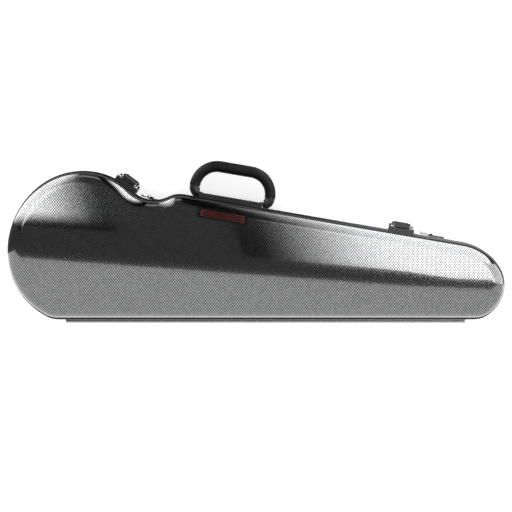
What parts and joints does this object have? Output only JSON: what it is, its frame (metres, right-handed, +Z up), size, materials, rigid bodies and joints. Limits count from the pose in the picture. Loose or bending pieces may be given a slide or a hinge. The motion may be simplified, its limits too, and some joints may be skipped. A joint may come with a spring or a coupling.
{
  "type": "violin case",
  "caption": "Shaped hard case for a violin with a domed hinged lid, swinging bail handle, two draw latches, strap rings and a padded bed",
  "frame": {"origin": "centre of the footprint, on the plane the feet stand on", "axes": "+X towards the wide bout, -Y towards the handle and latches, +Z up through the lid"},
  "size_m": [0.7911, 0.2593, 0.131],
  "materials": {
    "carbon_shell": "silver and black plain weave under clear gloss",
    "black_rim": "polished black",
    "seal_rubber": "soft matte black",
    "foot_rubber": "matte black",
    "hinge_steel": "satin black",
    "handle_plastic": "fine grained black",
    "grip_rubber": "soft black",
    "fitting_steel": "bright nickel",
    "latch_black": "black coat on zinc",
    "ring_chrome": "polished",
    "badge_black": "black enamel",
    "badge_red": "red enamel",
    "velvet": "wine red pile",
    "tie_ribbon": "black webbing",
    "tab_leather": "dark brown"
  },
  "bodies": {
    "base": {"base_shell": "carbon_shell", "base_rim": "black_rim", "rim_seal": "seal_rubber", "feet": "foot_rubber", "hinge_base_leaf": "hinge_steel", "hinge_pin": "hinge_steel", "handle_base": "handle_plastic", "handle_screws": "fitting_steel", "bout_latch_plate": "latch_black", "neck_latch_plate": "latch_black", "bout_latch_pin": "fitting_steel", "neck_latch_pin": "fitting_steel", "latch_rivets": "fitting_steel", "bout_ring_plate": "latch_black", "neck_ring_plate": "latch_black", "bout_ring_boss": "fitting_steel", "neck_ring_boss": "fitting_steel", "ring_rivets": "fitting_steel", "base_lining": "velvet", "tail_pad": "velvet", "block_pad": "velvet", "neck_rest": "velvet", "neck_tie": "tie_ribbon"},
    "lid": {"lid_shell": "carbon_shell", "lid_rim": "black_rim", "hinge_lid_leaf": "hinge_steel", "badge_plate": "badge_black", "badge_staff": "badge_red", "bout_latch_keeper": "latch_black", "neck_latch_keeper": "latch_black", "keeper_rivets": "fitting_steel", "lid_lining": "velvet", "front_bow_post": "handle_plastic", "rear_bow_post": "handle_plastic", "front_tip_pocket": "velvet", "rear_tip_pocket": "velvet"},
    "handle": {"handle_bail": "handle_plastic", "handle_grip": "grip_rubber"},
    "bout_lever": {"bout_latch_lever": "latch_black", "bout_latch_link_pin": "fitting_steel"},
    "neck_lever": {"neck_latch_lever": "latch_black", "neck_latch_link_pin": "fitting_steel"},
    "bout_claw": {"bout_latch_claw": "latch_black"},
    "neck_claw": {"neck_latch_claw": "latch_black"},
    "bout_ring": {"bout_ring": "ring_chrome"},
    "neck_ring": {"neck_ring": "ring_chrome"},
    "front_spinner": {"front_bow_spinner": "handle_plastic"},
    "rear_spinner": {"rear_bow_spinner": "handle_plastic"},
    "compartment": {"compartment_lid": "velvet", "compartment_tab": "tab_leather"}
  },
  "joints": [
    {"name": "lid_hinge", "type": "hinge", "parent": "base", "child": "lid", "pos_m": [-0.015, 0.127, 0.0663], "axis": [-1, 0, 0], "range_deg": [0, 95]},
    {"name": "handle_swing", "type": "hinge", "parent": "base", "child": "handle", "pos_m": [0.04169, -0.06931, 0.041], "axis": [-0.9857, 0.1685, 0], "range_deg": [-40, 75]},
    {"name": "bout_lever_swing", "type": "hinge", "parent": "base", "child": "bout_lever", "pos_m": [0.20251, -0.09595, 0.054], "axis": [-0.8007, 0.5991, 0], "range_deg": [0, 110]},
    {"name": "bout_claw_swing", "type": "hinge", "parent": "bout_lever", "child": "bout_claw", "pos_m": [0.20071, -0.09836, 0.045], "axis": [-0.8007, 0.5991, 0], "range_deg": [-110, 0]},
    {"name": "neck_lever_swing", "type": "hinge", "parent": "base", "child": "neck_lever", "pos_m": [-0.23226, -0.0235, 0.054], "axis": [-0.9857, 0.1685, 0], "range_deg": [0, 110]},
    {"name": "neck_claw_swing", "type": "hinge", "parent": "neck_lever", "child": "neck_claw", "pos_m": [-0.23277, -0.02645, 0.045], "axis": [-0.9857, 0.1685, 0], "range_deg": [-110, 0]},
    {"name": "bout_ring_swing", "type": "hinge", "parent": "base", "child": "bout_ring", "pos_m": [0.17111, -0.07171, 0.045], "axis": [0, 0, -1], "range_deg": [0, 150]},
    {"name": "neck_ring_swing", "type": "hinge", "parent": "base", "child": "neck_ring", "pos_m": [-0.27671, -0.01255, 0.045], "axis": [0, 0, -1], "range_deg": [0, 150]},
    {"name": "front_spinner_turn", "type": "hinge", "parent": "lid", "child": "front_spinner", "pos_m": [-0.205, 0.037, 0.094], "axis": [0, 0, 1], "range_deg": [0, 90]},
    {"name": "rear_spinner_turn", "type": "hinge", "parent": "lid", "child": "rear_spinner", "pos_m": [-0.165, 0.082, 0.094], "axis": [0, 0, 1], "range_deg": [0, 90]},
    {"name": "compartment_hinge", "type": "hinge", "parent": "base", "child": "compartment", "pos_m": [-0.2385, 0.06196, 0.0574], "axis": [0.108, 0.9942, 0], "range_deg": [0, 85]}
  ],
  "couplings": [
    {"joint": "bout_claw_swing", "follows": "bout_lever_swing", "ratio": -1},
    {"joint": "neck_claw_swing", "follows": "neck_lever_swing", "ratio": -1}
  ]
}
